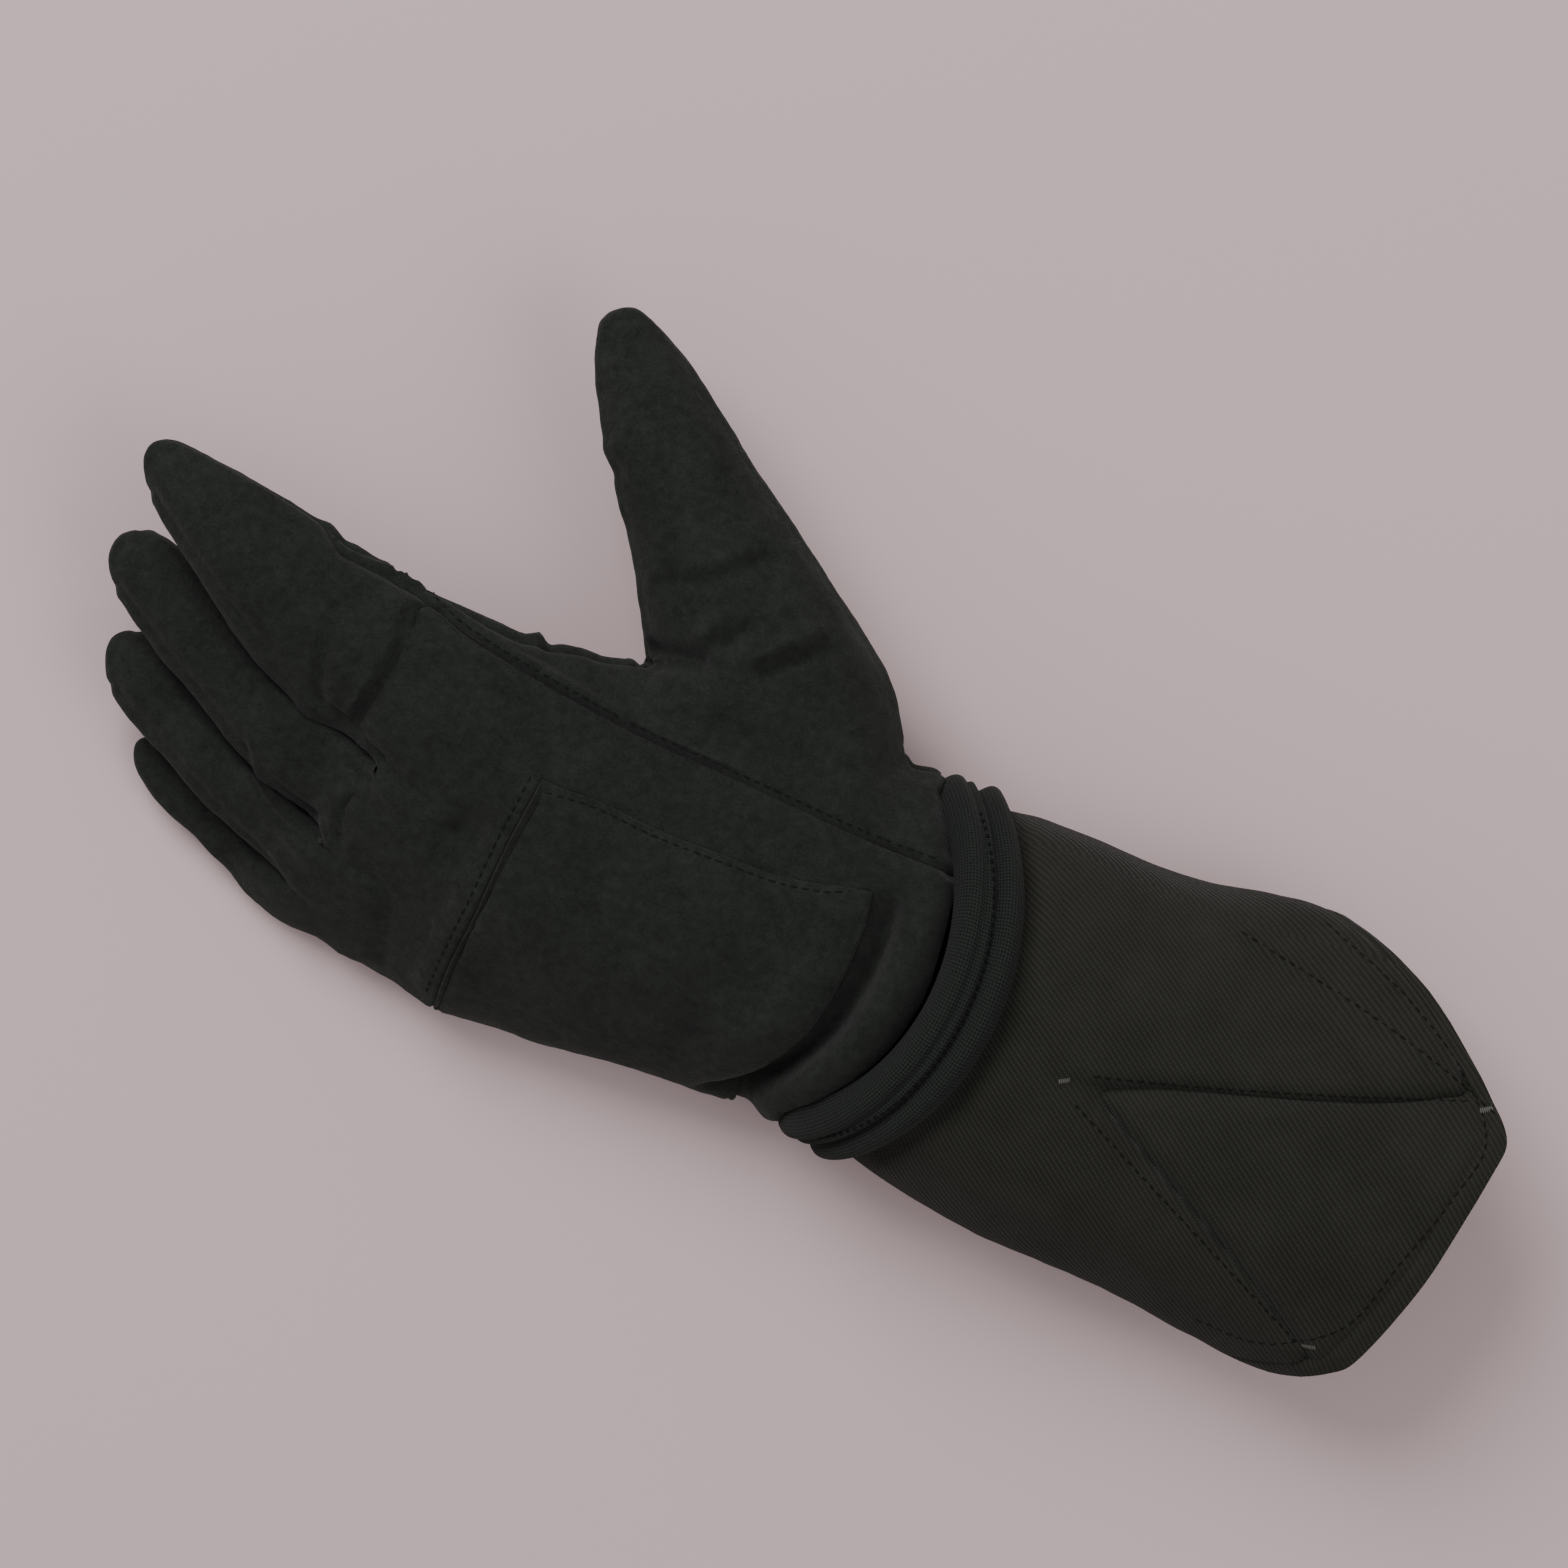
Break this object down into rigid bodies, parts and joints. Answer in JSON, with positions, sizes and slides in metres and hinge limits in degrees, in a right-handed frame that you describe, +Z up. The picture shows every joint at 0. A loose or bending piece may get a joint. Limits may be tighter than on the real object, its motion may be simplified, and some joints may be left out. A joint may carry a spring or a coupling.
{
  "type": "fencing glove",
  "caption": "Right-hand fencing glove lying palm up: sewn suede hand with fingers and thumb, ridged elastic wrist band, and a long flared twill cuff with a gusset.",
  "frame": {"origin": "middle of the underside of the glove's box, on the surface that it lies on", "axes": "+X from the fingers towards the mouth of the cuff, +Y towards the thumb, +Z up out of the palm"},
  "size_m": [0.3566, 0.17, 0.0582],
  "materials": {
    "suede": "matt near-black microfibre suede, slightly cool",
    "twill": "matt near-black twill with fine diagonal ribs",
    "elastic": "matt black ribbed elastic"
  },
  "bodies": {
    "root": {"palm_panel": "suede", "back_panel": "suede", "index_front": "suede", "index_back": "suede", "middle_front": "suede", "middle_back": "suede", "ring_front": "suede", "ring_back": "suede", "little_front": "suede", "little_back": "suede", "finger_strip_1": "suede", "finger_strip_2": "suede", "finger_strip_3": "suede", "thumb_front": "suede", "thumb_back": "suede", "palm_patch": "suede", "wrist_band": "elastic", "cuff_panel": "twill", "cuff_gusset": "twill", "cuff_hem": "twill"}
  },
  "joints": []
}
